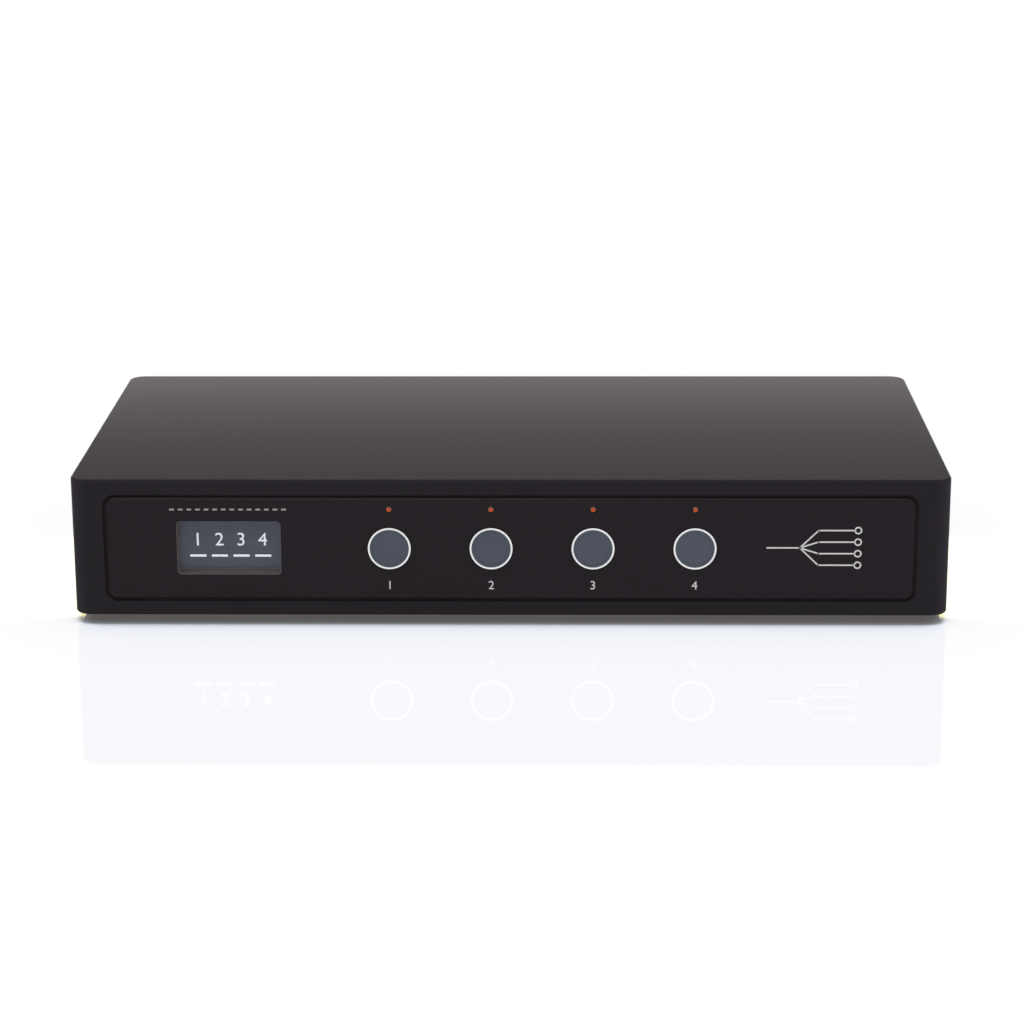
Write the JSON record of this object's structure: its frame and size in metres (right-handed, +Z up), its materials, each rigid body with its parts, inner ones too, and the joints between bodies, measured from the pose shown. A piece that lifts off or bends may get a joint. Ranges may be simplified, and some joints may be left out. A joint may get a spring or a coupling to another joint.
{
  "type": "speaker selector switch",
  "caption": "Low black desktop box that routes an amplifier to speaker zones, with ringed push buttons, lamps and a small display in front and pull-off speaker plugs behind.",
  "frame": {"origin": "bottom centre of the whole part's box, on the plane the feet stand on", "axes": "+X to the right as seen from the front, +Y from the front panel to the rear, +Z up"},
  "size_m": [0.19, 0.1076, 0.0327],
  "materials": {
    "case_plastic": "fine satin black moulding",
    "fascia_plastic": "satin black",
    "lens_plastic": "clear tinted window",
    "display_glass": "grey-blue lit display",
    "holder_plastic": "black moulding",
    "ring_metal": "bright satin",
    "button_plastic": "blue-grey satin",
    "switch_plastic": "black moulding",
    "lamp_plastic": "lit orange",
    "lamp_chip": "pale lamp chip",
    "board_laminate": "green laminate",
    "relay_plastic": "pale moulding",
    "can_metal": "satin",
    "connector_plastic": "black moulding",
    "inlet_metal": "stamped steel",
    "terminal_plastic": "green moulding",
    "screw_steel": "zinc plated",
    "foot_rubber": "soft black"
  },
  "bodies": {
    "cabinet": {"case_shell": "case_plastic", "base_plate": "case_plastic", "base_screws": "screw_steel", "foot_front_left": "foot_rubber", "foot_front_right": "foot_rubber", "foot_rear_left": "foot_rubber", "foot_rear_right": "foot_rubber", "front_fascia": "fascia_plastic", "rear_panel": "fascia_plastic", "display_window": "lens_plastic", "display_panel": "display_glass", "display_holder": "holder_plastic", "indicator_leds": "lamp_chip", "front_board": "board_laminate", "front_board_screws": "screw_steel", "main_board": "board_laminate", "main_board_screws": "screw_steel", "radio_module": "can_metal", "reservoir_capacitor": "can_metal", "board_link": "connector_plastic", "power_inlet": "inlet_metal", "button_ring_1": "ring_metal", "tact_switch_1": "switch_plastic", "light_pipe_1": "lamp_plastic", "relay_1": "relay_plastic", "button_ring_2": "ring_metal", "tact_switch_2": "switch_plastic", "light_pipe_2": "lamp_plastic", "relay_2": "relay_plastic", "button_ring_3": "ring_metal", "tact_switch_3": "switch_plastic", "light_pipe_3": "lamp_plastic", "relay_3": "relay_plastic", "button_ring_4": "ring_metal", "tact_switch_4": "switch_plastic", "light_pipe_4": "lamp_plastic", "relay_4": "relay_plastic", "terminal_header_1": "terminal_plastic", "terminal_header_2": "terminal_plastic", "terminal_header_3": "terminal_plastic", "terminal_header_4": "terminal_plastic", "terminal_header_input": "terminal_plastic"},
    "button_1": {"button_cap_1": "button_plastic", "switch_plunger_1": "switch_plastic"},
    "button_2": {"button_cap_2": "button_plastic", "switch_plunger_2": "switch_plastic"},
    "button_3": {"button_cap_3": "button_plastic", "switch_plunger_3": "switch_plastic"},
    "button_4": {"button_cap_4": "button_plastic", "switch_plunger_4": "switch_plastic"},
    "zone_plug_1": {"terminal_plug_1": "terminal_plastic", "clamp_screws_1": "screw_steel"},
    "zone_plug_2": {"terminal_plug_2": "terminal_plastic", "clamp_screws_2": "screw_steel"},
    "zone_plug_3": {"terminal_plug_3": "terminal_plastic", "clamp_screws_3": "screw_steel"},
    "zone_plug_4": {"terminal_plug_4": "terminal_plastic", "clamp_screws_4": "screw_steel"},
    "input_plug": {"terminal_plug_input": "terminal_plastic", "clamp_screws_input": "screw_steel"}
  },
  "joints": [
    {"name": "button_1_press", "type": "slide", "parent": "cabinet", "child": "button_1", "axis": [0, 1, 0], "range_m": [0, 0.0005], "stiffness_N_per_m": 3000},
    {"name": "button_2_press", "type": "slide", "parent": "cabinet", "child": "button_2", "axis": [0, 1, 0], "range_m": [0, 0.0005], "stiffness_N_per_m": 3000},
    {"name": "button_3_press", "type": "slide", "parent": "cabinet", "child": "button_3", "axis": [0, 1, 0], "range_m": [0, 0.0005], "stiffness_N_per_m": 3000},
    {"name": "button_4_press", "type": "slide", "parent": "cabinet", "child": "button_4", "axis": [0, 1, 0], "range_m": [0, 0.0005], "stiffness_N_per_m": 3000},
    {"name": "zone_plug_1_pull", "type": "slide", "parent": "cabinet", "child": "zone_plug_1", "axis": [0, 1, 0], "range_m": [0, 0.012]},
    {"name": "zone_plug_2_pull", "type": "slide", "parent": "cabinet", "child": "zone_plug_2", "axis": [0, 1, 0], "range_m": [0, 0.012]},
    {"name": "zone_plug_3_pull", "type": "slide", "parent": "cabinet", "child": "zone_plug_3", "axis": [0, 1, 0], "range_m": [0, 0.012]},
    {"name": "zone_plug_4_pull", "type": "slide", "parent": "cabinet", "child": "zone_plug_4", "axis": [0, 1, 0], "range_m": [0, 0.012]},
    {"name": "input_plug_pull", "type": "slide", "parent": "cabinet", "child": "input_plug", "axis": [0, 1, 0], "range_m": [0, 0.012]}
  ]
}
